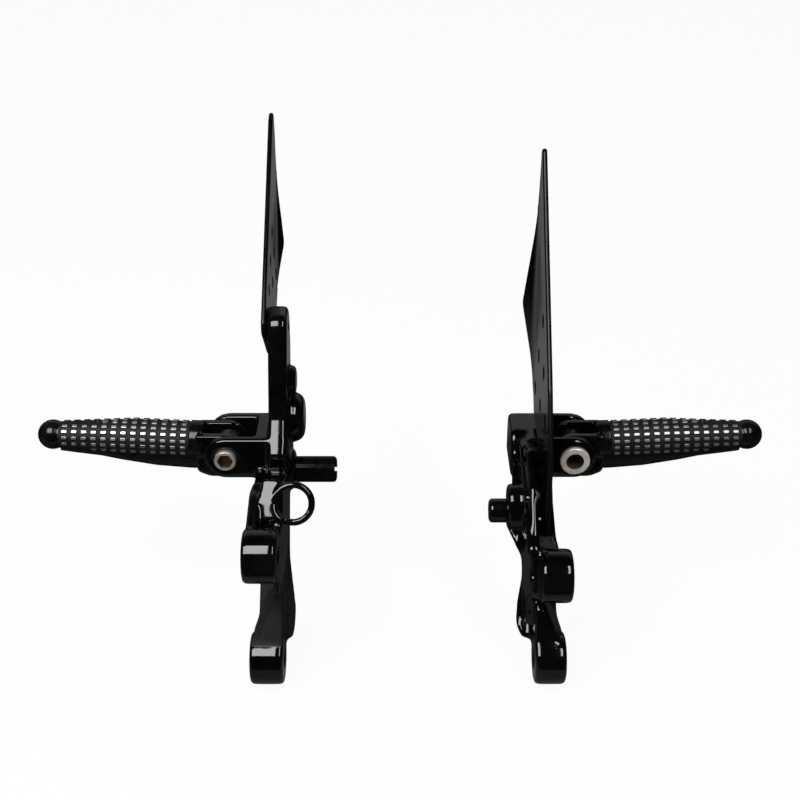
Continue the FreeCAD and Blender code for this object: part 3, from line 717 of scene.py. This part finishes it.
# glows fully to camera rays and as pool, near floor and strip to glossy ones; a small share of the
# pale surface shows through the glow and takes the shadow
def stageFloor():
    size, z = studio["floorSize"], studio["floorZ"]
    corners = [(-size, -size, z), (size, -size, z), (size, size, z), (-size, size, z)]
    mesh = bpy.data.meshes.new("floor")
    mesh.from_pydata(corners, [], [(0, 1, 2, 3)])
    floor = bpy.data.objects.new("floor", mesh)
    bpy.context.scene.collection.objects.link(floor)
    finish = newFinish("paleFloor", {"Base Color": grey(studio["floorGrey"]),
                                     "Roughness": studio["floorRough"], "Specular IOR Level": 0.0})
    camera, glossy, through = finish.rays()
    across, back, _ = finish.parts(finish.place())
    away = abs(across - studio["poolX"])
    pool = back.smooth(*studio["poolY"]) * (1 - away.smooth(*studio["poolFade"])) * studio["pool"]
    near = back.smooth(*studio["nearY"]) * (1 - back.smooth(*studio["poolY"])) * studio["near"]
    strip = back.smooth(*studio["stripFrom"]) * (1 - back.smooth(*studio["stripTo"])) * studio["strip"]
    level = camera + through + glossy * (pool + near + strip)
    glow = finish.node("Emission", None, {"Color": grey(1.0), "Strength": level})
    share = (camera + through) * (1 - studio["shadowShare"]) + glossy
    surface = Flow(finish, finish.shader.outputs[0])
    mixed = finish.node("MixShader", None, {0: share, 1: surface, 2: glow})
    finish.tree.links.new(mixed.socket, finish.tree.nodes["Material Output"].inputs["Surface"])
    mesh.materials.append(finish.material)


# white to camera rays, a wall at the back between two heights to glossy ones, ambient to the rest
def studioWorld():
    world = bpy.data.worlds.new("studio")
    bpy.context.scene.world = world
    world.use_nodes = True
    finish = Finish(world.node_tree)
    camera, glossy, through = finish.rays()
    _, back, up = finish.parts(finish.node("TexCoord"))
    band = up.smooth(*studio["wallLow"]) * (1 - up.smooth(*studio["wallHigh"]))
    level = camera + through + glossy * back.smooth(*studio["wallY"]) * band * studio["wall"]
    level = level + (1 - camera) * (1 - glossy) * (1 - through) * studio["ambient"]
    sky = finish.tree.nodes["Background"]
    sky.inputs["Color"].default_value = grey(1.0)
    finish.plug(sky.inputs["Strength"], level)


# long soft boxes in front and above, facing the object, each from one x to another
lamps = {
    "keyLeft": {"fromX": -1.1, "toX": -0.1, "power": 22.6},
    "keyRight": {"fromX": 0.5, "toX": 0.8, "power": 6.8},
}
lampRow = {"elevation": 58.0, "distance": 1.5, "tall": 0.9, "aimY": 0.1}


def softBox(name, lamp):
    light = bpy.data.lights.new(name, "AREA")
    light.shape = "RECTANGLE"
    light.size, light.size_y = lamp["toX"] - lamp["fromX"], lampRow["tall"]
    light.energy = lamp["power"]
    holder = bpy.data.objects.new(name, light)
    bpy.context.scene.collection.objects.link(holder)
    lift = math.radians(lampRow["elevation"])
    holder.location = ((lamp["fromX"] + lamp["toX"]) / 2,
                       lampRow["aimY"] - lampRow["distance"] * math.cos(lift),
                       lampRow["distance"] * math.sin(lift))
    holder.rotation_euler = (math.pi / 2 - lift, 0.0, 0.0)
    holder.visible_camera = False


stageFloor()
studioWorld()
for name, lamp in lamps.items():
    softBox(name, lamp)

view = {"at": (0.0806, -0.63626, 0.44046), "tilt": 62.0, "lens": 59.85, "nearest": 0.01}
camera = bpy.data.cameras.new("camera")
camera.lens = view["lens"]
camera.clip_start = view["nearest"]
holder = bpy.data.objects.new("camera", camera)
bpy.context.scene.collection.objects.link(holder)
holder.location = view["at"]
holder.rotation_euler = (math.radians(view["tilt"]), 0.0, 0.0)
bpy.context.scene.camera = holder
bpy.context.scene.view_settings.view_transform = "Standard"
print("studio ready")
